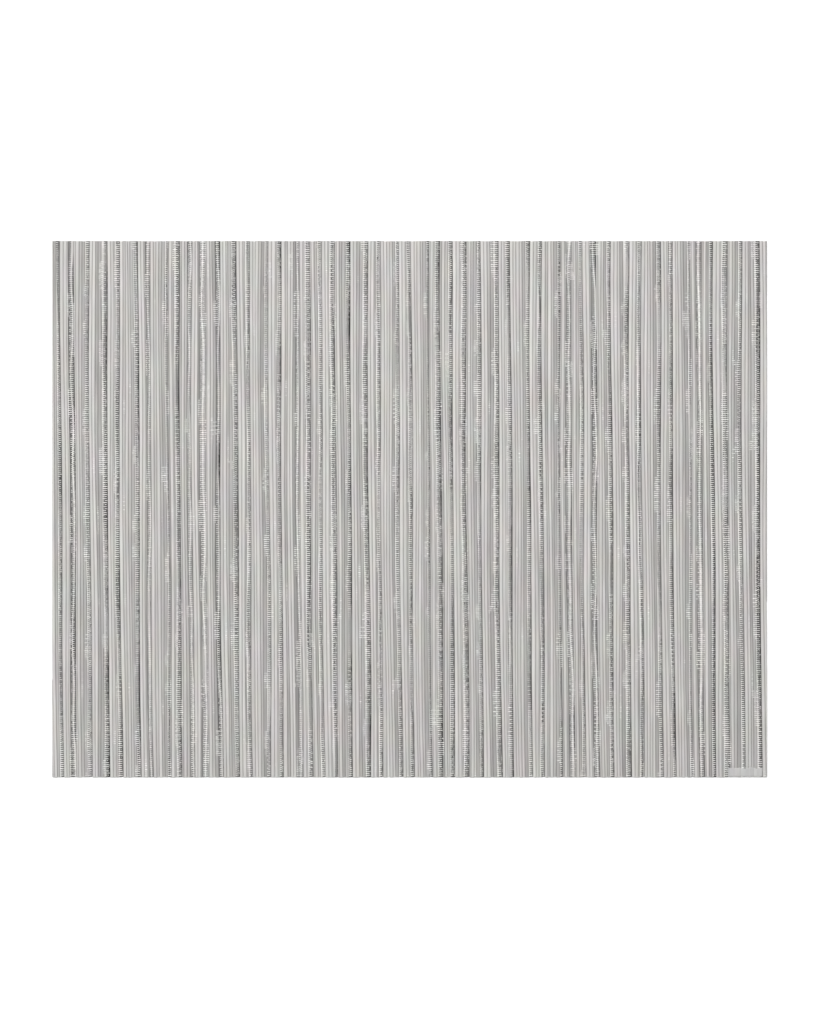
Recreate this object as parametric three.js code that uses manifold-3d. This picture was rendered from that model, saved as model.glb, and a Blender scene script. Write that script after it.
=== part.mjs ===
// A flat rib-woven placemat, one piece of cloth. Its strands run the short way of the mat and lie side
// by side in a repeating order: round cords, flat and narrow tapes, laddered strands that lie a little
// lower, and sunk strands that lie lowest. The cloth is woven a little larger than the mat and then cut
// to size, so the strands, which lean and sway slightly, run out at the cut edges. One front corner is
// pressed smooth.
//
// Frame: X is the long way of the mat, Y the way the strands run, Z is up. The origin is the middle of
// the flat underside. All sizes are in millimetres.
import * as THREE from "three";
import { mergeVertices } from "three/addons/utils/BufferGeometryUtils.js";
import Module from "manifold-3d";

// Driving dimensions of the mat.
const MAT_WIDTH = 480;
const MAT_DEPTH = 360;
const CUT_ALLOWANCE = 4; // how far the woven cloth reaches past each cut edge, and below the underside
const CUT_HEIGHT = 10; // how tall the block is that stands for the cutting die

// The kinds of strand: the width each takes before it is fitted to the repeat, the height of its top,
// and the share of its width that is rounded off at each side. A sunk strand has no rounding.
const STRAND_KINDS = {
  c: { name: "pale cord", width: 2.1, top: 2.0, shoulder: 0.28 },
  g: { name: "grey cord", width: 1.75, top: 1.85, shoulder: 0.28 },
  f: { name: "flat tape", width: 2.0, top: 1.7, shoulder: 0.15 },
  n: { name: "narrow tape", width: 0.95, top: 1.65, shoulder: 0.2 },
  l: { name: "laddered strand", width: 1.95, top: 1.55, shoulder: 0.15 },
  w: { name: "wide laddered strand", width: 2.8, top: 1.55, shoulder: 0.12 },
  d: { name: "sunk strand", width: 1.25, top: 1.1, shoulder: 0 },
};

// One repeat of the weave, from left to right, and where a repeat begins at mid depth.
const REPEAT_ORDER = "gldccn wdnc gfldccgf wdccn ldcgcgf ldccn ldcgcgf lncn wdnc".replaceAll(" ", "");
const REPEAT_WIDTH = 87.7;
const REPEAT_START = -238.4;
const SEAM_DROP = 0.4; // how far a seam lies below the lower of the two strands beside it

// How the strands lie: they lean and bow a little toward +X at the near edge, and they sway together.
const LEAN = 1.15;
const BOW = 0.45;
const SWAYS = [
  { reach: 0.35, across: 61, along: 280, start: 0 },
  { reach: 0.25, across: 23, along: -380, start: 0.2 },
  { reach: 0.12, across: 9.5, along: 210, start: 0.65 },
];
const SWAY_STEPS = 4; // straight stretches from the far edge to the near edge

// The smooth pressed corner, at the near edge on the right.
const PRESSED_WIDTH = 27;
const PRESSED_DEPTH = 5.5;
const PRESSED_HEIGHT = 1.4;

const CLOTH_COLOUR = 0xb7b5b2;

const wasm = await Module();
wasm.setup();

// How far a strand that is at x at mid depth is carried sideways at y.
function sideways(x, y) {
  const near = -y / (MAT_DEPTH / 2); // 1 at the near edge, -1 at the far edge
  const swayed = SWAYS.reduce((total, { reach, across, along, start }) => {
    return total + reach * Math.sin(2 * Math.PI * (x / across + y / along + start));
  }, 0);
  return LEAN * near + BOW * near ** 2 + swayed;
}

// The strands at mid depth from left to right, each { kind, left, right }, a little past both edges.
function layStrands() {
  const repeat = [...REPEAT_ORDER].map((letter) => STRAND_KINDS[letter]);
  const fit = REPEAT_WIDTH / repeat.reduce((total, { width }) => total + width, 0);
  const reach = MAT_WIDTH / 2 + CUT_ALLOWANCE;
  const strands = [];
  let left = REPEAT_START - REPEAT_WIDTH;
  for (let i = 0; left < reach; i += 1) {
    const kind = repeat[i % repeat.length];
    const right = left + kind.width * fit;
    if (right > -reach) strands.push({ kind, left, right });
    left = right;
  }
  return strands;
}

// The cloth's section at mid depth: a flat underside and the ribbed upper side.
function clothSection() {
  const strands = layStrands();
  const points = [];
  strands.forEach(({ kind, left, right }, i) => {
    const before = strands[i - 1]?.kind ?? kind;
    const sunk = [kind, before].some(({ shoulder }) => shoulder === 0);
    const lower = Math.min(kind.top, before.top);
    points.push(new THREE.Vector2(left, sunk ? lower : lower - SEAM_DROP));
    if (kind.shoulder === 0) return;
    const shoulder = kind.shoulder * (right - left);
    points.push(new THREE.Vector2(left + shoulder, kind.top), new THREE.Vector2(right - shoulder, kind.top));
  });
  const last = strands[strands.length - 1];
  points.push(new THREE.Vector2(last.right, last.kind.top - SEAM_DROP));
  points.push(new THREE.Vector2(last.right, -CUT_ALLOWANCE), new THREE.Vector2(strands[0].left, -CUT_ALLOWANCE));
  return new THREE.Shape(points);
}

// A solid from a closed geometry.
function solidFrom(geometry) {
  geometry.deleteAttribute("normal");
  geometry.deleteAttribute("uv");
  const merged = mergeVertices(geometry);
  const vertProperties = merged.getAttribute("position").array;
  return new wasm.Manifold(new wasm.Mesh({ numProp: 3, vertProperties, triVerts: merged.index.array }));
}

function boxFrom(xFrom, xTo, yFrom, yTo, zFrom, zTo) {
  const box = new THREE.BoxGeometry(xTo - xFrom, yTo - yFrom, zTo - zFrom);
  return solidFrom(box.translate((xFrom + xTo) / 2, (yFrom + yTo) / 2, (zFrom + zTo) / 2));
}

// The cloth as woven: its section carried from the near edge to the far one, with the strands' sway.
function wovenCloth() {
  const depth = MAT_DEPTH + 2 * CUT_ALLOWANCE;
  const cloth = new THREE.ExtrudeGeometry(clothSection(), { depth, steps: SWAY_STEPS, bevelEnabled: false });
  cloth.rotateX(Math.PI / 2).translate(0, depth / 2, 0);
  const place = cloth.getAttribute("position");
  for (let i = 0; i < place.count; i += 1) {
    place.setX(i, place.getX(i) + sideways(place.getX(i), place.getY(i)));
  }
  return solidFrom(cloth);
}

// The cloth with its near right corner pressed to one smooth height.
function pressedCloth() {
  const right = MAT_WIDTH / 2;
  const near = -MAT_DEPTH / 2;
  const patch = [right - PRESSED_WIDTH, right + CUT_ALLOWANCE, near - CUT_ALLOWANCE, near + PRESSED_DEPTH];
  const press = boxFrom(...patch, PRESSED_HEIGHT, CUT_HEIGHT);
  const filling = boxFrom(...patch, -CUT_ALLOWANCE / 2, PRESSED_HEIGHT);
  return wovenCloth().subtract(press).add(filling);
}

// The mat: the pressed cloth cut to size.
function matGeometry() {
  const right = MAT_WIDTH / 2;
  const far = MAT_DEPTH / 2;
  const mat = pressedCloth().intersect(boxFrom(-right, right, -far, far, 0, CUT_HEIGHT));
  const { vertProperties, triVerts } = mat.getMesh();
  const geometry = new THREE.BufferGeometry();
  geometry.setAttribute("position", new THREE.BufferAttribute(vertProperties, 3));
  geometry.setIndex(new THREE.BufferAttribute(triVerts, 1));
  geometry.computeVertexNormals();
  return geometry;
}

const cloth = new THREE.MeshStandardMaterial({ color: CLOTH_COLOUR, roughness: 0.5, metalness: 0 });
const mat = new THREE.Mesh(matGeometry(), cloth);
mat.name = "mat";

const placemat = new THREE.Group();
placemat.add(mat);

export default placemat;
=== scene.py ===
from dataclasses import dataclass

import bpy
import numpy as np
from bpy.props import FloatProperty, FloatVectorProperty, IntProperty, PointerProperty
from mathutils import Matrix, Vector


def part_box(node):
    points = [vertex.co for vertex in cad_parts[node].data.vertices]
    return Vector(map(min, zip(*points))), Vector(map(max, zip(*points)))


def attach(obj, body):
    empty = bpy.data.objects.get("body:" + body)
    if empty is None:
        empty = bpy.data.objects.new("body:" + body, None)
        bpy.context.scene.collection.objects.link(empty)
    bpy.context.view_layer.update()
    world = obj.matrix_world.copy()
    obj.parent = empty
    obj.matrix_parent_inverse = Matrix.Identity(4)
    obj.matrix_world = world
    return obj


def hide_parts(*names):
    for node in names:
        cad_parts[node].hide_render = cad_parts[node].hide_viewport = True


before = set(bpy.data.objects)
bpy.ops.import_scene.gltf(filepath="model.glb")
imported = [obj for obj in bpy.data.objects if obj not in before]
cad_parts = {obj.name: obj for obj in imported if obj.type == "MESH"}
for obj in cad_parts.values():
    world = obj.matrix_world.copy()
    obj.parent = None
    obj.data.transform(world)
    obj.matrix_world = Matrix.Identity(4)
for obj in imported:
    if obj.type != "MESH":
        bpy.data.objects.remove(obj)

bl_info = {
    "name": "Rib-woven placemat",
    "version": (1, 0, 0),
    "blender": (4, 5, 0),
    "location": "3D View > Sidebar > Placemat",
    "description": "Weaves a ribbed placemat strand by strand and sets it on a pale stage",
    "category": "Object",
}

# The solid that the woven pieces stand for, and its box, which gives the mat's size.
SOLID = "mat"
MM = 0.001
BOX_LOW, BOX_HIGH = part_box(SOLID)
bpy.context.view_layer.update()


@dataclass(frozen=True)
class Kind:
    """A kind of strand, in millimetres. Its width is what it takes before it is fitted to the repeat."""

    name: str
    width: float
    top: float
    bottom: float
    squareness: float  # 2 is a round section, and more is flatter with fuller corners
    sides: int
    give: float  # how far its side moves where the neighbour gives way too
    overlap: float  # how far it reaches under its neighbours at each side
    crossed: tuple  # from where to where, on a random curve from -1 to 1, the cross threads come up over it
    rise: float = 0.0  # how much higher it lies where they don't
    laddered: bool = False  # made of two yarns that part where the threads cross them
    climb: float = 0.68  # how far a cross thread climbs to show, as a part of its height


KINDS = {
    "c": Kind("pale cord", 2.1, 2.0, 0.3, 2.1, 10, 0.09, 0.03, (0.95, 1.3), climb=0.45),
    "g": Kind("grey cord", 1.75, 1.45, 0.3, 1.9, 8, 0.12, 0.03, (0.85, 1.2), climb=0.5),
    "f": Kind("flat tape", 2.0, 1.4, 0.3, 2.9, 8, 0.12, 0.05, (0.4, 0.8), 0.25),
    "n": Kind("narrow tape", 0.95, 1.5, 0.3, 2.3, 8, 0.12, 0.05, (0.4, 0.8), 0.2),
    "l": Kind("laddered strand", 1.95, 1.3, 0.5, 2.6, 8, 0.3, 0.1, (-1.1, -0.3), 0.25, True, 1.02),
    "w": Kind("wide laddered strand", 2.8, 1.3, 0.5, 2.8, 8, 0.3, 0.1, (-1.1, -0.3), 0.25, True, 0.95),
    "d": Kind("sunk strand", 1.25, 0.8, 0.12, 3.0, 8, 0.3, 0.3, (-0.3, 0.7)),
}
SUNK = KINDS["d"]

# One repeat of the weave, from left to right, in the letters of KINDS.
REPEAT_ORDER = "gldccn wdnc gfldccgf wdccn ldcgcgf ldccn ldcgcgf lncn wdnc".replace(" ", "")

# The waves of sway that the cross threads share: reach, and lengths across and along the cloth, in metres.
THREAD_SWAYS = (
    {"reach": 0.4 * MM, "across": 0.083, "along": 0.47, "start": 0.3},
    {"reach": 0.22 * MM, "across": -0.031, "along": 0.36, "start": 0.1},
)

# The waves of sway that the strands share: reach, and lengths across and along the cloth, in metres.
SWAYS = (
    {"reach": 0.35 * MM, "across": 0.061, "along": 0.280, "start": 0.0},
    {"reach": 0.25 * MM, "across": 0.023, "along": -0.380, "start": 0.2},
    {"reach": 0.12 * MM, "across": 0.0095, "along": 0.210, "start": 0.65},
)

STATIONS = 56  # rings along each strand, besides those at the pressed corner
ROUND = 2.0  # squareness of a round section
LEAST_WIDTH = 0.12 * MM  # a strand that the cut leaves narrower than this ends there
WAVES = 3  # sine waves in each random curve

# How the strands differ from each other and along their way. Lengths are in metres.
PLACE_JITTER = 0.15 * MM  # how far a strand's side may lie off its place
SUNK_INSET = 0.15 * MM  # how far the strand after a sunk one reaches over it
SUNK_OPEN = 0.42  # how much of its width a sunk strand shows
SUNK_OPEN_SPREAD = 0.95  # how much that changes along it
SUNK_OPEN_LIMITS = (0.02, 1.3)
SOFT_CURVES = (0.05, 0.2)  # shortest and longest waves of where soft strands show their ladder
CORD_CURVES = (0.02, 0.08)  # and of where the threads come up over the others
SIDE_CURVES = (0.05, 0.25)  # of the strands' sides and gaps
FINE_CURVES = (0.03, 0.1)  # of their tops, and of where every other thread stays down
TILT_CURVES = (0.04, 0.2)
SLANT_CURVES = (0.03, 0.12)
SPARSE_FROM = 0.75  # above this on a random curve, only every other thread comes up
GAP_SPREAD = 2.6  # how unevenly the opening is shared along the strand
GAP_SHARES = (0.1, 1.0, 1.4)  # how a laddered strand's opening is shared: left, between its yarns and right
TOP_SPREAD = 0.04 * MM  # how uneven the strands' tops are
TONE_SPREAD = 0.8  # how much of its difference from its neighbours a strand's tone keeps
TONE_LIMIT = 1.1
PALE_SHARE = (0.34, 0.58)  # how much of a laddered strand's width the pale yarn takes
PALE_ON_RIGHT = 0.2  # how many of the laddered strands have their pale yarn on the right
END_STAGGER = 0.15 * MM  # how far the cut ends lie off the cut

# The two yarns of a laddered strand.
PALE_RISE = 0.12 * MM  # how much higher the pale one lies than the grey one
PARTING = 0.8 * MM  # how far they part in all, where the ladder shows most
CLOSING = 0.04 * MM  # how far they overlap where it doesn't show

# The cross threads.
THREAD_GROUPS = ("a", "b", "c", "d")
THREAD_SIDES = 3
THREAD_MARGIN = 0.4 * MM  # how far the outermost ones keep from the cut ends of the strands
THREAD_LAYER = 0.16 * MM  # height of a thread's middle where it runs under the strands
STRAIGHT_END = 6 * MM  # they run straight at the cut ends and sway fully from here on
RUNG_SLANT = 0.6 * MM  # how far a rung's side lies along the strand from its middle, where it slants much
THREAD_UNEVEN = 0.36  # spread of how high a cross thread comes up, as a part of its height
THREAD_SUNK = -0.7  # how far its middle lies from a sunk strand's top, and how much more where it shows
THREAD_SUNK_CLIMB = 0.36
THREAD_HIDDEN = -0.62  # and from the tops of the other strands where it doesn't show
THREAD_SIDE_TILT = 2.3  # its slope up to the pale yarn, in its heights over the strand's width
THREAD_TILT = 0.6  # and how much that slope wanders
THREAD_SHOWS_FROM = 0.1  # where less than this shows, it stays under cords and tapes
THREAD_STEP = 0.15 * MM  # how far beside a strand it goes up or down
THREAD_LEAST_STEP = 0.02 * MM  # its points lie at least this far apart
THREAD_END = 0.05 * MM  # and keep this far from the mat's sides
THREAD_WAVE = 0.05 * MM  # how far it wanders by itself, and the lengths of its waves
THREAD_CURVES = (0.02, 0.1)
CROSSING_PARTS = (0.22, 0.78)  # where along a strand's width its points lie
WIDE_CROSSING_PARTS = (0.18, 0.5, 0.82)
WIDE_FROM = 2.5  # a strand is wide from this many millimetres on

# The map that the materials are baked to, where each yarn has a lane.
BAKE_MAP = "OFBake"
LANE_FILL = 0.9  # how much of its lane in the bake map a yarn takes
CAP_PLACES = (0.001, 0.999)  # where along the lane its cut ends lie

# The pressed patch.
PRESSED_STEPS = (121, 27)  # points across and along the cloth
PRESSED_DROP = 0.35 * MM  # how far its border drops
PRESSED_ROUND = 0.9 * MM  # how wide that border is
PRESSED_RELIEF = 0.2 * MM  # height of the ribs that still show in it
PRESSED_FOOT = 0.8 * MM  # height of its underside
PRESSED_RAGGED = 0.5 * MM  # how uneven its inner border is
PRESSED_CORNER = 1.2 * MM  # radius of its inner corners
PRESSED_CURVES = (0.002, 0.009)  # shortest and longest waves of that border, in metres
PRESSED_RIB_MIDDLE = 0.7  # the part of its ribs' height that lies at the patch's own
PRESSED_STREAKS = 12  # how many turns of a yarn its streaks stand for, over the mat's width
PRESSED_SEED = 0.3
PRESSED_STATIONS = (-0.4 * MM, 0.8 * MM, 2.0 * MM)  # rings along the strands, from the patch's inner border
PRESSED_UNDER = 0.2 * MM  # how far below the patch the strands' tops keep

# The coated yarn: its streaks, its tint's scale along X, Y and Z, and its relief.
STREAKS_AROUND = 7.0
STREAKS_PER_METRE = 50.0
STREAK_SPREAD = 0.4
STREAK_SLICE = 3.0  # where the streaks are cut from the noise, away from the drift
LANE_SPACING = 731.0  # far enough apart for no two yarns to share a pattern
TINT_SCALE = (100.0, 45.0, 1.0)
ROUGHNESS = 0.42
ROUGHNESS_SPREAD = 0.3
SHEEN = 0.3
RELIEF_STRENGTH = 0.4
RELIEF_DEPTH = 0.05 * MM

# The stage's lamp, floor and camera.
SOFTBOX_SIZE = (1.4, 1.0)
SOFTBOX_PLACE = (-0.25, 0.6, 1.7)
FLOOR_ROUGHNESS = 0.9
SENSOR_HEIGHT = 36.0  # in millimetres
VIEW_END = 100  # how far the camera sees, in metres


class ClothSettings(bpy.types.PropertyGroup):
    """Sizes of the cloth."""

    width: FloatProperty(
        name="Width", description="Long side of the mat", default=BOX_HIGH.x - BOX_LOW.x, unit="LENGTH"
    )
    depth: FloatProperty(
        name="Depth", description="Short side of the mat, along the strands", default=BOX_HIGH.y - BOX_LOW.y,
        unit="LENGTH",
    )
    repeat_width: FloatProperty(
        name="Repeat width", description="Width of one repeat of the strands' order", default=87.7 * MM,
        unit="LENGTH",
    )
    repeat_start: FloatProperty(
        name="Repeat start", description="Where a repeat begins at mid depth", default=-238.4 * MM,
        unit="LENGTH",
    )
    lean: FloatProperty(
        name="Lean", description="How far the strands run to the right at the near edge", default=1.15 * MM,
        unit="LENGTH",
    )
    bow: FloatProperty(
        name="Bow", description="How far the strands curve to the right at both ends", default=0.45 * MM,
        unit="LENGTH",
    )
    thread_pitch: FloatProperty(
        name="Thread pitch", description="Distance between cross threads", default=1.35 * MM, unit="LENGTH"
    )
    thread_width: FloatProperty(
        name="Thread width", description="Width of a cross thread", default=0.66 * MM, unit="LENGTH"
    )
    thread_height: FloatProperty(
        name="Thread height", description="Height of a cross thread, which is pressed flat",
        default=0.38 * MM, unit="LENGTH",
    )
    pressed_width: FloatProperty(
        name="Pressed width", description="Width of the smooth patch in the near right corner",
        default=23.4 * MM, unit="LENGTH",
    )
    pressed_inset: FloatProperty(
        name="Pressed inset", description="How far the smooth patch keeps from the right side",
        default=2.6 * MM, unit="LENGTH",
    )
    pressed_depth: FloatProperty(
        name="Pressed depth", description="Depth of the smooth patch", default=6.2 * MM, unit="LENGTH"
    )
    pressed_height: FloatProperty(
        name="Pressed height", description="Height of the smooth patch", default=1.4 * MM, unit="LENGTH"
    )
    seed: IntProperty(name="Seed", description="Seed of the cloth's unevenness", default=11)


class YarnColours(bpy.types.PropertyGroup):
    """Colours of the yarns, as linear values."""

    pale_cord: FloatVectorProperty(
        name="Pale cord", description="Colour of the pale cords", subtype="COLOR",
        default=(0.447, 0.438, 0.424)
    )
    grey_cord: FloatVectorProperty(
        name="Grey cord", description="Colour of the grey cords", subtype="COLOR",
        default=(0.372, 0.364, 0.352)
    )
    tape: FloatVectorProperty(
        name="Flat tape", description="Colour of the flat tapes", subtype="COLOR",
        default=(0.294, 0.288, 0.28)
    )
    narrow_tape: FloatVectorProperty(
        name="Narrow tape", description="Colour of the narrow tapes", subtype="COLOR",
        default=(0.334, 0.327, 0.317)
    )
    laddered_plain: FloatVectorProperty(
        name="Laddered, plain", description="Colour of the grey yarn where the ladder doesn't show",
        subtype="COLOR", default=(0.225, 0.221, 0.214),
    )
    # Painted shade: the grey yarn is darker where the ladder shows, in place of the shade between and under
    # the cross threads' rungs.
    laddered_grey_painted_shade: FloatVectorProperty(
        name="Laddered, grey yarn, painted shade", description="Colour of the grey yarn where the ladder shows",
        subtype="COLOR", default=(0.148, 0.146, 0.141),
    )
    laddered_pale: FloatVectorProperty(
        name="Laddered, pale yarn", description="Colour of the pale yarn where the ladder shows",
        subtype="COLOR", default=(0.482, 0.473, 0.458),
    )
    # Painted shade: the sunk strands really lie low in the grooves and under the laddered strands' partings,
    # and their dark colour stands in for the shade there.
    sunk: FloatVectorProperty(
        name="Sunk strand in painted shade", description="Colour of the sunk strands", subtype="COLOR",
        default=(0.12, 0.118, 0.115)
    )
    thread: FloatVectorProperty(
        name="Cross thread", description="Colour of the cross threads", subtype="COLOR",
        default=(0.715, 0.703, 0.684)
    )
    pressed: FloatVectorProperty(
        name="Pressed patch", description="Colour of the smooth patch", subtype="COLOR",
        default=(0.385, 0.38, 0.375)
    )


class StageSettings(bpy.types.PropertyGroup):
    """The floor, the light and the camera."""

    floor_size: FloatProperty(name="Floor size", description="Side of the floor", default=6.0, unit="LENGTH")
    floor_colour: FloatVectorProperty(
        name="Floor colour", description="Colour of the floor", subtype="COLOR", default=(0.9, 0.9, 0.9)
    )
    sky: FloatProperty(name="Sky", description="Strength of the light from all round", default=0.62, min=0)
    key_power: FloatProperty(name="Key light", description="Power of the softbox", default=33.4, unit="POWER")
    view_height: FloatProperty(
        name="View height", description="How much of the table the picture shows, top to bottom",
        default=688.4 * MM, unit="LENGTH",
    )
    lens: FloatProperty(name="Lens", description="Focal length in millimetres", default=100.0, min=1)
    aim_y: FloatProperty(
        name="Aim", description="Where the camera looks along Y", default=-2.02 * MM, unit="LENGTH"
    )


class Layout:
    """Where each strand of the cloth lies at each station along Y: its sides, its height and what shows."""

    def __init__(self, cloth):
        rng = np.random.default_rng(cloth.seed)
        self.right = cloth.width / 2
        near = -cloth.depth / 2
        pressed = near + cloth.pressed_depth
        self.y = np.sort(np.append(np.linspace(near, -near, STATIONS), pressed + np.array(PRESSED_STATIONS)))
        first = cloth.repeat_start - cloth.repeat_width
        repeats = int(np.ceil((self.right - first) / cloth.repeat_width))
        self.kinds = [KINDS[letter] for letter in REPEAT_ORDER] * repeats
        width = np.array([kind.width for kind in self.kinds])
        width *= repeats * cloth.repeat_width / width.sum()
        self.place_edges(rng, cloth, first, width)
        laddered = np.array([kind.laddered for kind in self.kinds])[:, None]
        middle = (self.edges[:-1] + self.edges[1:]) / 2
        last = self.right - cloth.pressed_inset
        beside = (middle > last - cloth.pressed_width) & (middle < last)
        self.show_threads(rng, laddered, beside & (self.y < pressed))
        self.part_yarns(rng)
        self.set_heights(rng, cloth, beside, pressed)
        self.choose_tones(rng)
        self.stagger = rng.uniform(-END_STAGGER, END_STAGGER, (len(self.kinds), 2))
        self.slant = RUNG_SLANT * laddered * wobble(rng, len(self.kinds), self.y, *SLANT_CURVES)

    def place_edges(self, rng, cloth, first, width):
        """Sets the edges between the strands: cords run straight, and soft strands push each other about."""
        count = len(width)
        home = first + np.append(0, np.cumsum(width))[:, None]
        home += PLACE_JITTER * rng.uniform(-1, 1, (count + 1, 1))
        give = np.array([kind.give for kind in self.kinds]) * MM
        give = np.minimum(np.append(give, give[-1]), np.append(give[0], give))[:, None]
        self.edges = home + give * wobble(rng, count + 1, self.y, *SIDE_CURVES)
        self.edges += sideways(cloth, self.edges, self.y)
        sunk = np.flatnonzero([kind is SUNK for kind in self.kinds])
        self.edges[sunk + 1] -= SUNK_INSET
        open_part = SUNK_OPEN + SUNK_OPEN_SPREAD * wobble(rng, len(sunk), self.y, *SOFT_CURVES)
        self.edges[sunk] = self.edges[sunk + 1] - width[sunk, None] * open_part.clip(*SUNK_OPEN_LIMITS)

    def show_threads(self, rng, laddered, pressed_here):
        """Sets how much the cross threads show over each strand, and where only every other one does."""
        count = len(self.kinds)
        long_curves = wobble(rng, count, self.y, *SOFT_CURVES)
        short_curves = wobble(rng, count, self.y, *CORD_CURVES)
        low, high = np.array([kind.crossed for kind in self.kinds]).T[:, :, None]
        self.shown = smooth_step(np.where(laddered, long_curves, short_curves), low, high) * ~pressed_here
        self.sparse = wobble(rng, count, self.y, *FINE_CURVES) > SPARSE_FROM

    def part_yarns(self, rng):
        """Sets the gaps beside and between the two yarns of a laddered strand."""
        count = len(self.kinds)
        share = np.exp(GAP_SPREAD * wobble(rng, 3 * count, self.y, *SIDE_CURVES))
        share = share.reshape(count, 3, len(self.y)) * np.array(GAP_SHARES)[:, None]
        self.gaps = PARTING * share / share.sum(axis=1, keepdims=True) * self.shown[:, None] - CLOSING

    def set_heights(self, rng, cloth, beside, pressed):
        """Sets each strand's tilt and the height of its top, which sinks under the pressed patch."""
        count = len(self.kinds)
        self.tilt = wobble(rng, count, self.y, *TILT_CURVES)
        top, rise = np.array([(kind.top, kind.rise) for kind in self.kinds]).T[:, :, None] * MM
        self.top = top + TOP_SPREAD * wobble(rng, count, self.y, *FINE_CURVES) + rise * (1 - self.shown)
        sunk_top = np.minimum(self.top, cloth.pressed_height - PRESSED_UNDER)
        start, _, end = PRESSED_STATIONS
        sinking = beside * (1 - smooth_step(self.y, pressed + start, pressed + end))
        self.top += sinking * (sunk_top - self.top)

    def choose_tones(self, rng):
        """Sets each strand's tone against its neighbours', its yarns' shares and the seeds of its look."""
        count = len(self.kinds)
        pale_share = rng.uniform(*PALE_SHARE, count)
        tone = rng.uniform(-1, 1, (count, 2))
        beyond = tone - (np.roll(tone, 1, axis=0) + np.roll(tone, -1, axis=0)) / 2
        self.tone = (TONE_SPREAD * beyond).clip(-TONE_LIMIT, TONE_LIMIT)
        self.pale_half = (rng.uniform(0, 1, count) < PALE_ON_RIGHT).astype(int)
        self.split = np.where(self.pale_half == 0, pale_share, 1 - pale_share)
        self.seed = rng.uniform(0, 1, (count, 2))

    def at(self, values, y):
        """The values of all strands or edges at y, between stations."""
        k = int(np.clip(np.searchsorted(self.y, y) - 1, 0, len(self.y) - 2))
        part = (y - self.y[k]) / (self.y[k + 1] - self.y[k])
        return values[..., k] * (1 - part) + values[..., k + 1] * part


class Yarns:
    """Closed tubes that are gathered into one mesh."""

    def __init__(self):
        self.points, self.quads, self.caps, self.quad_maps, self.cap_maps = [], [], [], [], []
        self.yarn, self.tone, self.ladder, self.quad_slots, self.cap_slots = [], [], [], [], []
        self.count = 0

    def add(self, rings, along, seed, tone, slot=0, ladder=0.0):
        """Adds a tube: rings of points, the way along it at each ring, and what its material reads."""
        steps, sides = rings.shape[:2]
        index = self.count + np.arange(steps * sides).reshape(steps, sides)
        turned = np.roll(index, -1, axis=1)
        quads = np.stack([index[:-1], index[1:], turned[1:], turned[:-1]], axis=-1).reshape(-1, 4)
        around = np.arange(sides) / sides
        reach = (along - along[0]) / (along[-1] - along[0])
        lane = len(self.yarn)
        low, high = lane + LANE_FILL * around, lane + LANE_FILL * (around + 1 / sides)
        corners = np.empty((steps - 1, sides, 4, 2))
        corners[..., 0:2, 0] = low[None, :, None]
        corners[..., 2:4, 0] = high[None, :, None]
        corners[..., [0, 3], 1] = reach[:-1, None, None]
        corners[..., [1, 2], 1] = reach[1:, None, None]
        self.points.append(rings.reshape(-1, 3))
        self.quads.append(quads)
        self.quad_maps.append(corners.reshape(-1, 2))
        self.quad_slots.append(np.full(len(quads), slot))
        for end, ring in zip(CAP_PLACES, (index[0], index[-1, ::-1])):
            self.caps.append(ring.tolist())
            self.cap_maps.append(np.stack([low, np.full(sides, end)], axis=-1))
            self.cap_slots.append(slot)
        yarn = np.empty((steps, sides, 3))
        yarn[..., 0] = along[:, None]
        yarn[..., 1] = around[None, :]
        yarn[..., 2] = seed
        self.yarn.append(yarn.reshape(-1, 3))
        self.tone.append(np.full(steps * sides, tone))
        self.ladder.append(np.broadcast_to(np.reshape(ladder, (-1, 1)), (steps, sides)).ravel())
        self.count += steps * sides

    def build(self, name, materials):
        """The mesh object of all tubes, each of which has its own lane in the bake map."""
        mesh = bpy.data.meshes.new(name)
        quads = np.concatenate(self.quads).tolist()
        mesh.from_pydata(np.concatenate(self.points), [], quads + self.caps)
        mesh.polygons.foreach_set("material_index", np.concatenate([*self.quad_slots, self.cap_slots]))
        smooth = np.zeros(len(mesh.polygons), bool)
        smooth[: len(quads)] = True
        mesh.polygons.foreach_set("use_smooth", smooth)
        for cap in mesh.polygons[len(quads) :]:
            for corner in cap.loop_indices:
                mesh.edges[mesh.loops[corner].edge_index].use_edge_sharp = True
        store(mesh, "yarn", "FLOAT_VECTOR", np.concatenate(self.yarn))
        store(mesh, "yarn_tone", "FLOAT", np.concatenate(self.tone))
        store(mesh, "ladder", "FLOAT", np.concatenate(self.ladder))
        places = np.concatenate(self.quad_maps + self.cap_maps) / [len(self.yarn), 1]
        bake_map = mesh.uv_layers.new(name=BAKE_MAP)
        bake_map.uv.foreach_set("vector", places.astype(np.float32).ravel())
        return finish_mesh(mesh, materials)


def finish_mesh(mesh, materials):
    """The object of a mesh, in the scene, with its materials."""
    for material in materials:
        mesh.materials.append(material)
    mesh.validate()
    piece = bpy.data.objects.new(mesh.name, mesh)
    bpy.context.scene.collection.objects.link(piece)
    return piece


def store(mesh, name, form, values):
    """Keeps values on the mesh's points, where a material can read them."""
    key = "vector" if form == "FLOAT_VECTOR" else "value"
    mesh.attributes.new(name, form, "POINT").data.foreach_set(key, values.astype(np.float32).ravel())


def wobble(rng, count, places, shortest, longest):
    """Smooth random curves over places, one for each row, mostly from -1 to 1."""
    total = np.zeros((count, len(places)))
    for _ in range(WAVES):
        length = rng.uniform(shortest, longest, (count, 1))
        start = rng.uniform(0, 1, (count, 1))
        total += np.sin(2 * np.pi * (places / length + start))
    return total / np.sqrt(2 * WAVES)


def smooth_step(values, low, high):
    part = ((values - low) / (high - low)).clip(0, 1)
    return part * part * (3 - 2 * part)


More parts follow.
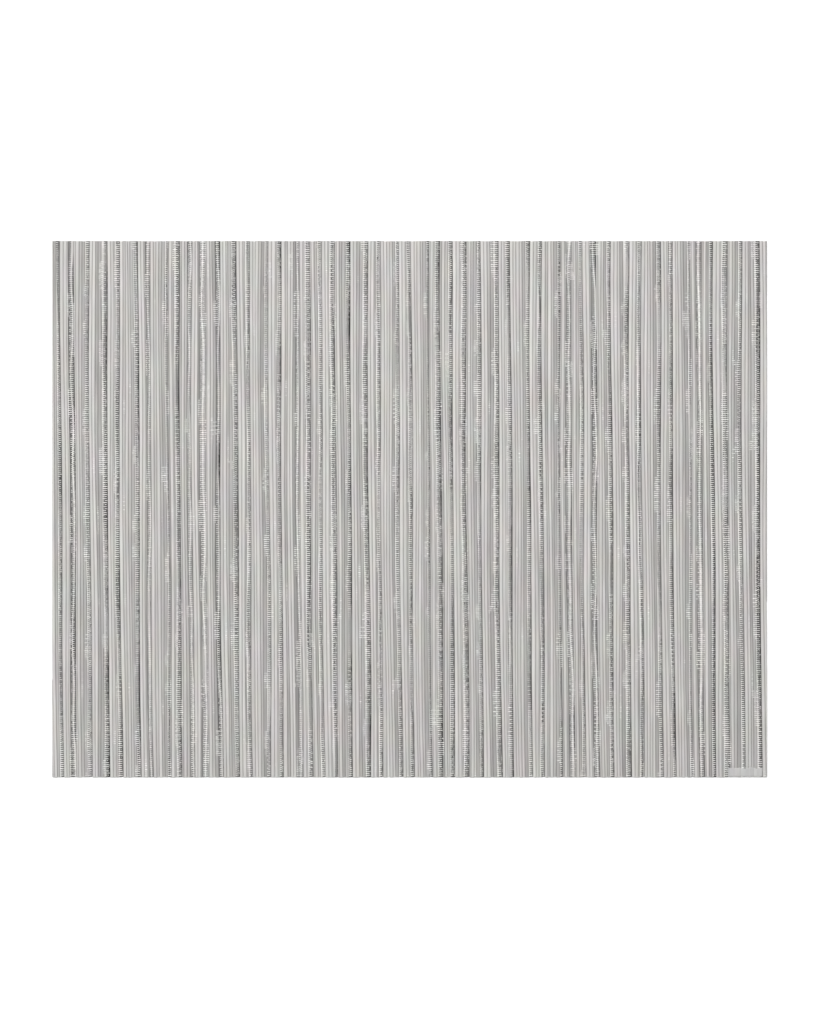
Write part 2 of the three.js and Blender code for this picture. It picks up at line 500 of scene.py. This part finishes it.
def sideways(cloth, x, y):
    """How far strands that are at x at mid depth are carried sideways at y."""
    near = -y / (cloth.depth / 2)
    return cloth.lean * near + cloth.bow * near**2 + swayed(SWAYS, x, y)


def swayed(sways, x, y):
    """The sum of waves that run over the cloth."""
    return sum(
        sway["reach"] * np.sin(2 * np.pi * (x / sway["across"] + y / sway["along"] + sway["start"]))
        for sway in sways
    )


def section(sides, squareness):
    """A ring of a strand's section in X and Z, one unit each way, starting from its underside."""
    angle = 2 * np.pi * (np.arange(sides) + 0.5) / sides - np.pi / 2
    ring = np.stack([np.cos(angle), np.sin(angle)], axis=-1)
    return np.sign(ring) * np.abs(ring) ** (2 / squareness)


def add_strand(yarns, layout, i, kind, left, right, half=0, slot=0, lift=0.0):
    """Adds a yarn of strand i as a closed tube along Y between left and right, cut at the mat's sides."""
    inside = np.flatnonzero(right.clip(max=layout.right) - left.clip(-layout.right) > LEAST_WIDTH)
    if len(inside) < 2:
        return
    stretch = slice(inside[0], inside[-1] + 1)
    left, right = left[stretch], right[stretch]
    bottom = kind.bottom * MM
    top = lift + (np.full(len(left), kind.top * MM) if kind is SUNK else layout.top[i, stretch])
    ring = section(kind.sides, kind.squareness)
    y = layout.y[stretch].copy()
    if inside[0] == 0:
        y[0] += layout.stagger[i, 0]
    if inside[-1] == len(layout.y) - 1:
        y[-1] += layout.stagger[i, 1]
    rings = np.empty((len(y), kind.sides, 3))
    rings[..., 0] = ((left + right) / 2)[:, None] + ((right - left) / 2)[:, None] * ring[:, 0]
    rings[..., 0] = rings[..., 0].clip(-layout.right, layout.right)
    rings[..., 1] = y[:, None]
    rings[..., 2] = ((top + bottom) / 2)[:, None] + ((top - bottom) / 2)[:, None] * ring[:, 1]
    yarns.add(rings, y, layout.seed[i, half], layout.tone[i, half], slot, layout.shown[i, stretch])


def add_ribs(yarns, layout, letters):
    """Adds the cords and tapes of the kinds in letters, whose order gives their material slots."""
    slots = {KINDS[letter]: slot for slot, letter in enumerate(letters)}
    for i, kind in enumerate(layout.kinds):
        if kind in slots:
            left, right = layout.edges[i] - kind.overlap * MM, layout.edges[i + 1] + kind.overlap * MM
            add_strand(yarns, layout, i, kind, left, right, slot=slots[kind])


def add_laddered(yarns, layout):
    """Adds both yarns of each laddered strand, and the sunk strand that runs under and beside them."""
    for i, kind in enumerate(layout.kinds):
        if not kind.laddered:
            continue
        left, right = layout.edges[i], layout.edges[i + 1]
        gaps = layout.gaps[i]
        split = left + gaps[0] + (right - left - gaps.sum(axis=0)) * layout.split[i]
        for half, sides in enumerate(((left + gaps[0], split), (split + gaps[1], right - gaps[2]))):
            pale = half == layout.pale_half[i]
            add_strand(yarns, layout, i, kind, *sides, half, slot=int(pale), lift=PALE_RISE * pale)
        # The sunk strand under the parting and beside it is dark as painted shade.
        end = i + 2 if layout.kinds[i + 1] is SUNK else i + 1
        overlap = SUNK.overlap * MM
        add_strand(yarns, layout, i, SUNK, left - overlap, layout.edges[end] + overlap, slot=2)


def thread_route(layout, y, thickness, odd, rng):
    """The X, height and shift along Y of a cross thread, which runs under the ribs and comes up to show."""
    values = (layout.edges, layout.top, layout.shown, layout.tilt, layout.sparse, layout.slant)
    edges, top, shown, tilt, sparse, slant = (layout.at(rows, y) for rows in values)
    uneven = rng.standard_normal(len(top)) * THREAD_UNEVEN
    shown = shown * ~(odd & (sparse > 0.5))
    points = [(-layout.right, THREAD_LAYER, 0.0)]
    low = True
    for i, kind in enumerate(layout.kinds):
        left, right = edges[i], edges[i + 1]
        if right < -layout.right or left > layout.right:
            continue
        if kind is SUNK:
            height = thickness * (THREAD_SUNK_CLIMB * shown[i] + THREAD_SUNK + uneven[i])
            points.append(((left + right) / 2, kind.top * MM + height, 0.0))
            low = False
        elif not kind.laddered and shown[i] < THREAD_SHOWS_FROM:
            if not low:
                points.append((left + THREAD_STEP, THREAD_LAYER, 0.0))
            low = True
        else:
            if low:
                points.append((left - THREAD_STEP, THREAD_LAYER, 0.0))
            low = False
            rise = shown[i] * kind.climb + THREAD_HIDDEN + uneven[i] * shown[i]
            side = 2 * layout.pale_half[i] - 1 if kind.laddered else tilt[i]
            slope = (THREAD_SIDE_TILT * side + THREAD_TILT * tilt[i]) * shown[i]
            for part in CROSSING_PARTS if kind.width < WIDE_FROM else WIDE_CROSSING_PARTS:
                height = thickness * (rise + slope * (part - 0.5))
                points.append((left + part * (right - left), top[i] + height, slant[i] * 2 * (part - 0.5)))
    route = np.array(points).T
    inside = np.abs(route[0]) < layout.right - THREAD_END
    inside[0] = True
    route = route[:, inside]
    route = route[:, np.append(True, np.diff(route[0]) > THREAD_LEAST_STEP)]
    return np.append(route, [[layout.right], [THREAD_LAYER], [0.0]], axis=1)


def group_tree(name, inputs, outputs):
    """A new shader node group with its sockets, and its input and output nodes."""
    tree = bpy.data.node_groups.new(name, "ShaderNodeTree")
    for in_out, sockets in (("INPUT", inputs), ("OUTPUT", outputs)):
        for label, form, default in sockets:
            socket = tree.interface.new_socket(label, in_out=in_out, socket_type=form)
            if default is not None:
                socket.default_value = default
    return tree, tree.nodes.new("NodeGroupInput"), tree.nodes.new("NodeGroupOutput")


def math_node(tree, operation, *values):
    """A math node of values or sockets, and its result."""
    node = tree.nodes.new("ShaderNodeMath")
    node.operation = operation
    for socket, value in zip(node.inputs, values):
        if isinstance(value, (int, float)):
            socket.default_value = value
        else:
            tree.links.new(value, socket)
    return node.outputs[0]


def noise_node(tree, vector, detail=2.0):
    node = tree.nodes.new("ShaderNodeTexNoise")
    node.inputs["Scale"].default_value = 1.0
    node.inputs["Detail"].default_value = detail
    tree.links.new(vector, node.inputs["Vector"])
    return node


def vector_node(tree, x, y, z):
    node = tree.nodes.new("ShaderNodeCombineXYZ")
    for socket, value in zip(node.inputs, (x, y, z)):
        if isinstance(value, (int, float)):
            socket.default_value = value
        else:
            tree.links.new(value, socket)
    return node.outputs[0]


def mix_node(tree, blend, part, first, second):
    """A colour mix, and its result."""
    node = tree.nodes.new("ShaderNodeMix")
    node.data_type = "RGBA"
    node.blend_type = blend
    for name, value in (("Factor_Float", part), ("A_Color", first), ("B_Color", second)):
        socket = next(s for s in node.inputs if s.identifier == name)
        if isinstance(value, (int, float, tuple)):
            socket.default_value = value
        else:
            tree.links.new(value, socket)
    return next(s for s in node.outputs if s.identifier == "Result_Color")


def read_attribute(tree, name):
    node = tree.nodes.new("ShaderNodeAttribute")
    node.attribute_name = name
    return node


def coated_yarn_group():
    """The look of coated yarn: its shade and tint drift along it, and fine streaks run with it."""
    found = bpy.data.node_groups.get("Coated yarn")
    if found:
        return found
    tree, inputs, outputs = group_tree(
        "Coated yarn",
        [
            ("Colour", "NodeSocketColor", (0.5, 0.5, 0.5, 1)),
            ("Colour and painted shade under ladder", "NodeSocketColor", (0.3, 0.3, 0.3, 1)),
            ("Strand spread", "NodeSocketFloat", 0.1),
            ("Drift spread", "NodeSocketFloat", 0.15),
            ("Drifts per metre", "NodeSocketFloat", 12.0),
            ("Tint spread", "NodeSocketFloat", 0.1),
        ],
        [
            ("Colour", "NodeSocketColor", None),
            ("Roughness", "NodeSocketFloat", None),
            ("Height", "NodeSocketFloat", None),
        ],
    )
    setting = inputs.outputs
    split = tree.nodes.new("ShaderNodeSeparateXYZ")
    tree.links.new(read_attribute(tree, "yarn").outputs["Vector"], split.inputs[0])
    along, around, seed = split.outputs
    lane = math_node(tree, "MULTIPLY", seed, LANE_SPACING)
    drift_along = math_node(tree, "MULTIPLY", along, setting["Drifts per metre"])
    drift = noise_node(tree, vector_node(tree, lane, drift_along, 0.0))
    place = tree.nodes.new("ShaderNodeMapping")
    place.inputs["Scale"].default_value = TINT_SCALE
    tree.links.new(tree.nodes.new("ShaderNodeTexCoord").outputs["Object"], place.inputs["Vector"])
    tint = noise_node(tree, place.outputs["Vector"], 1.0)
    streak_across = math_node(tree, "ADD", math_node(tree, "MULTIPLY", around, STREAKS_AROUND), lane)
    streak_along = math_node(tree, "MULTIPLY", along, STREAKS_PER_METRE)
    streak = noise_node(tree, vector_node(tree, streak_across, streak_along, STREAK_SLICE))
    shade = 1.0
    for value, spread in (
        (read_attribute(tree, "yarn_tone").outputs["Fac"], setting["Strand spread"]),
        (math_node(tree, "SUBTRACT", drift.outputs["Fac"], 0.5), setting["Drift spread"]),
        (math_node(tree, "SUBTRACT", streak.outputs["Fac"], 0.5), STREAK_SPREAD),
    ):
        shade = math_node(tree, "ADD", math_node(tree, "MULTIPLY", value, spread), shade)
    # Where the ladder shows, the colour turns to the colour under the ladder; on the grey laddered yarn this
    # is painted shade between the rungs.
    ladder = read_attribute(tree, "ladder").outputs["Fac"]
    base = mix_node(tree, "MIX", ladder, setting["Colour"], setting["Colour and painted shade under ladder"])
    shaded = mix_node(tree, "MULTIPLY", 1.0, base, vector_node(tree, shade, shade, shade))
    shift = tree.nodes.new("ShaderNodeVectorMath")
    shift.operation = "MULTIPLY_ADD"
    tree.links.new(tint.outputs["Color"], shift.inputs[0])
    spread = setting["Tint spread"]
    rest = math_node(tree, "MULTIPLY_ADD", spread, -0.5, 1.0)
    tree.links.new(vector_node(tree, spread, spread, spread), shift.inputs[1])
    tree.links.new(vector_node(tree, rest, rest, rest), shift.inputs[2])
    tree.links.new(mix_node(tree, "MULTIPLY", 1.0, shaded, shift.outputs[0]), outputs.inputs["Colour"])
    rough = math_node(tree, "MULTIPLY", streak.outputs["Fac"], ROUGHNESS_SPREAD)
    rough = math_node(tree, "ADD", rough, ROUGHNESS)
    tree.links.new(rough, outputs.inputs["Roughness"])
    tree.links.new(streak.outputs["Fac"], outputs.inputs["Height"])
    return tree


def yarn_material(name, colour, under=None, strand=0.12, drift=0.5, drifts=12.0, tint=0.1):
    """A yarn's material: coated, with a soft sheen."""
    material = bpy.data.materials.new(name)
    material.use_nodes = True
    tree = material.node_tree
    shader = tree.nodes["Principled BSDF"]
    shader.inputs["Specular IOR Level"].default_value = SHEEN
    look = tree.nodes.new("ShaderNodeGroup")
    look.node_tree = coated_yarn_group()
    look.inputs["Colour"].default_value = (*colour, 1)
    look.inputs["Colour and painted shade under ladder"].default_value = (*(under or colour), 1)
    look.inputs["Strand spread"].default_value = strand
    look.inputs["Drift spread"].default_value = drift
    look.inputs["Drifts per metre"].default_value = drifts
    look.inputs["Tint spread"].default_value = tint
    tree.links.new(look.outputs["Colour"], shader.inputs["Base Color"])
    tree.links.new(look.outputs["Roughness"], shader.inputs["Roughness"])
    relief = tree.nodes.new("ShaderNodeBump")
    relief.inputs["Strength"].default_value = RELIEF_STRENGTH
    relief.inputs["Distance"].default_value = RELIEF_DEPTH
    tree.links.new(look.outputs["Height"], relief.inputs["Height"])
    tree.links.new(relief.outputs["Normal"], shader.inputs["Normal"])
    return material


def dress(piece):
    """Every woven piece rides on the mat's body and stands for the solid."""
    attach(piece, "root")
    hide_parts(SOLID)


class PLACEMAT_OT_laddered_strands(bpy.types.Operator):
    """Weave the laddered and sunk strands, which lie lower than the ribs"""

    bl_idname = "placemat.laddered_strands"
    bl_label = "Laddered strands"

    def execute(self, context):
        colours = context.scene.placemat_yarn
        yarns = Yarns()
        add_laddered(yarns, Layout(context.scene.placemat_cloth))
        # The grey laddered yarn turns to painted shade where the ladder shows.
        grey = (colours.laddered_plain, colours.laddered_grey_painted_shade)
        pale = (colours.pale_cord, colours.laddered_pale)
        materials = [
            yarn_material("grey laddered yarn", *grey, strand=0.45, drift=1.6),
            yarn_material("pale laddered yarn", *pale, strand=0.2, drift=0.9),
            # The sunk strand's dark colour is painted shade for the grooves.
            yarn_material("sunk strand", colours.sunk, strand=1.1, drift=3.2),
        ]
        dress(yarns.build("laddered_strands", materials))
        return {"FINISHED"}


class PLACEMAT_OT_cross_threads(bpy.types.Operator):
    """Weave the cross threads, which show as rungs where they pass over the laddered strands"""

    bl_idname = "placemat.cross_threads"
    bl_label = "Cross threads"

    def execute(self, context):
        cloth = context.scene.placemat_cloth
        layout = Layout(cloth)
        rng = np.random.default_rng(cloth.seed + 1)
        count = int((cloth.depth - 2 * THREAD_MARGIN) / cloth.thread_pitch)
        first = -(count - 1) / 2 * cloth.thread_pitch
        ring = section(THREAD_SIDES, ROUND)
        ring[:, 0] /= ring[:, 0].max()
        material = yarn_material("cross thread", context.scene.placemat_yarn.thread, drift=0.9, drifts=220.0)
        groups = [Yarns() for _ in THREAD_GROUPS]
        for j in range(count):
            y = first + j * cloth.thread_pitch
            x, z, shift = thread_route(layout, y, cloth.thread_height, j % 2 == 1, rng)
            wave = swayed(THREAD_SWAYS, x, y) + THREAD_WAVE * wobble(rng, 1, x, *THREAD_CURVES)[0]
            wave = (wave + shift) * min(1.0, (cloth.depth / 2 - abs(y)) / STRAIGHT_END)
            rings = np.empty((len(x), THREAD_SIDES, 3))
            rings[..., 0] = x[:, None]
            rings[..., 1] = (y + wave)[:, None] - ring[:, 0] * cloth.thread_width / 2
            rings[..., 2] = z[:, None] + ring[:, 1] * cloth.thread_height / 2
            groups[j % len(groups)].add(rings, x, rng.uniform(), rng.uniform(-1, 1))
        for name, group in zip(THREAD_GROUPS, groups):
            dress(group.build("cross_threads_" + name, [material]))
        return {"FINISHED"}


class PLACEMAT_OT_pressed_corner(bpy.types.Operator):
    """Press the smooth patch in the near right corner, where heat has fused the yarns flat"""

    bl_idname = "placemat.pressed_corner"
    bl_label = "Pressed corner"

    def execute(self, context):
        cloth = context.scene.placemat_cloth
        layout = Layout(cloth)
        last = layout.right - cloth.pressed_inset
        x = np.linspace(last - cloth.pressed_width, last, PRESSED_STEPS[0])
        rng = np.random.default_rng(cloth.seed + 2)
        reach = cloth.pressed_depth + PRESSED_RAGGED * wobble(rng, 1, x, *PRESSED_CURVES)[0]
        corner = (np.minimum(x - x[0], x[-1] - x) / PRESSED_CORNER).clip(0, 1)
        reach -= PRESSED_CORNER * (1 - np.sqrt(1 - (1 - corner) ** 2))
        y = -cloth.depth / 2 + reach[:, None] * np.linspace(0, 1, PRESSED_STEPS[1])
        x = np.repeat(x[:, None], PRESSED_STEPS[1], axis=1)
        edges = layout.at(layout.edges, y[0, 0])
        strand = np.searchsorted(edges, x[:, 0]) - 1
        part = (x[:, 0] - edges[strand]) / (edges[strand + 1] - edges[strand])
        rib = np.sqrt(np.clip(1 - (2 * part - 1) ** 2, 0, 1)) - PRESSED_RIB_MIDDLE
        border = np.minimum(np.minimum(x - x.min(), x.max() - x), np.minimum(y - y.min(), y[:, -1:] - y))
        drop = PRESSED_DROP * (1 - smooth_step(border, 0, PRESSED_ROUND))
        z = cloth.pressed_height + PRESSED_RELIEF * rib[:, None] - drop
        top = np.stack([x, y, z], axis=-1).reshape(-1, 3)
        index = np.arange(x.size).reshape(x.shape)
        quads = np.stack([index[:-1, :-1], index[1:, :-1], index[1:, 1:], index[:-1, 1:]], axis=-1)
        quads = quads.reshape(-1, 4)
        rim = np.concatenate([index[:-1, 0], index[-1, :-1], index[:0:-1, -1], index[0, :0:-1]])
        under = len(top) + np.arange(len(rim))
        foot = top[rim] * [1, 1, 0] + [0, 0, PRESSED_FOOT]
        sides = np.stack([rim, under, np.roll(under, -1), np.roll(rim, -1)], axis=-1)
        mesh = bpy.data.meshes.new("pressed_corner")
        points = np.concatenate([top, foot])
        mesh.from_pydata(points, [], [*quads.tolist(), *sides.tolist(), under[::-1].tolist()])
        mesh.polygons.foreach_set("use_smooth", np.arange(len(mesh.polygons)) < len(quads))
        around = PRESSED_STREAKS * (points[:, 0] / cloth.width)
        yarn = np.stack([points[:, 1], around, np.full(len(points), PRESSED_SEED)], axis=-1)
        store(mesh, "yarn", "FLOAT_VECTOR", yarn)
        tone = np.repeat(layout.tone[strand, 0], PRESSED_STEPS[1])
        store(mesh, "yarn_tone", "FLOAT", np.append(tone, np.zeros(len(foot))))
        pressed = context.scene.placemat_yarn.pressed
        material = yarn_material("pressed patch", pressed, strand=0.1, drift=0.5, drifts=60.0)
        dress(finish_mesh(mesh, [material]))
        return {"FINISHED"}


class PLACEMAT_OT_ribs(bpy.types.Operator):
    """Weave the ribs: the pale and grey cords and the tapes"""

    bl_idname = "placemat.ribs"
    bl_label = "Ribs"

    def execute(self, context):
        cloth, colours = context.scene.placemat_cloth, context.scene.placemat_yarn
        yarns = Yarns()
        add_ribs(yarns, Layout(cloth), "cgfn")
        materials = [
            yarn_material("pale cord", colours.pale_cord, strand=0.08, drift=0.4),
            yarn_material("grey cord", colours.grey_cord, strand=0.28, drift=0.8),
            yarn_material("flat tape", colours.tape, strand=0.2, drift=0.7),
            yarn_material("narrow tape", colours.narrow_tape, strand=0.25, drift=0.9),
        ]
        piece = yarns.build("ribs", materials)
        dress(piece)
        return {"FINISHED"}


class PLACEMAT_OT_stage(bpy.types.Operator):
    """Set the floor, the soft studio light and the camera"""

    bl_idname = "placemat.stage"
    bl_label = "Stage"

    def execute(self, context):
        stage, scene = context.scene.placemat_stage, context.scene
        half = stage.floor_size / 2
        mesh = bpy.data.meshes.new("floor")
        corners = [(-half, -half, 0), (half, -half, 0), (half, half, 0), (-half, half, 0)]
        mesh.from_pydata(corners, [], [(0, 1, 2, 3)])
        floor = bpy.data.objects.new("floor", mesh)
        scene.collection.objects.link(floor)
        material = bpy.data.materials.new("floor")
        material.use_nodes = True
        shader = material.node_tree.nodes["Principled BSDF"]
        shader.inputs["Base Color"].default_value = (*stage.floor_colour, 1)
        shader.inputs["Roughness"].default_value = FLOOR_ROUGHNESS
        mesh.materials.append(material)
        lamp = bpy.data.lights.new("softbox", "AREA")
        lamp.shape = "RECTANGLE"
        lamp.size, lamp.size_y = SOFTBOX_SIZE
        lamp.energy = stage.key_power
        softbox = bpy.data.objects.new("softbox", lamp)
        softbox.location = SOFTBOX_PLACE
        softbox.rotation_euler = (-softbox.location).to_track_quat("-Z", "Y").to_euler()
        scene.collection.objects.link(softbox)
        world = bpy.data.worlds.new("sky")
        world.use_nodes = True
        world.node_tree.nodes["Background"].inputs["Color"].default_value = (1, 1, 1, 1)
        world.node_tree.nodes["Background"].inputs["Strength"].default_value = stage.sky
        scene.world = world
        lens = bpy.data.cameras.new("camera")
        lens.sensor_fit = "VERTICAL"
        lens.sensor_height = SENSOR_HEIGHT
        lens.lens = stage.lens
        camera = bpy.data.objects.new("camera", lens)
        camera.location = (0, stage.aim_y, stage.view_height * stage.lens / SENSOR_HEIGHT)
        lens.clip_end = VIEW_END
        scene.collection.objects.link(camera)
        scene.camera = camera
        scene.view_settings.view_transform = "Standard"
        return {"FINISHED"}


class PLACEMAT_PT_panel(bpy.types.Panel):
    """Lists the mat's settings and its pieces"""

    bl_label = "Placemat"
    bl_space_type = "VIEW_3D"
    bl_region_type = "UI"
    bl_category = "Placemat"

    def draw(self, context):
        for name in SETTINGS:
            column = self.layout.column(align=True)
            settings = getattr(context.scene, name)
            for key in settings.bl_rna.properties.keys():
                if key not in ("name", "rna_type"):
                    column.prop(settings, key)
        for operator in PIECES:
            self.layout.operator(operator.bl_idname)


SETTINGS = {"placemat_cloth": ClothSettings, "placemat_yarn": YarnColours, "placemat_stage": StageSettings}
PIECES = (
    PLACEMAT_OT_stage,
    PLACEMAT_OT_laddered_strands,
    PLACEMAT_OT_cross_threads,
    PLACEMAT_OT_pressed_corner,
    PLACEMAT_OT_ribs,
)
CLASSES = (*SETTINGS.values(), *PIECES, PLACEMAT_PT_panel)


def register():
    for cls in CLASSES:
        bpy.utils.register_class(cls)
    for name, settings in SETTINGS.items():
        setattr(bpy.types.Scene, name, PointerProperty(type=settings))


def unregister():
    for name in SETTINGS:
        delattr(bpy.types.Scene, name)
    for cls in reversed(CLASSES):
        bpy.utils.unregister_class(cls)


def main():
    register()
    bpy.ops.placemat.stage()
    bpy.ops.placemat.laddered_strands()
    bpy.ops.placemat.cross_threads()
    bpy.ops.placemat.pressed_corner()
    bpy.ops.placemat.ribs()


if __name__ == "__main__":
    main()
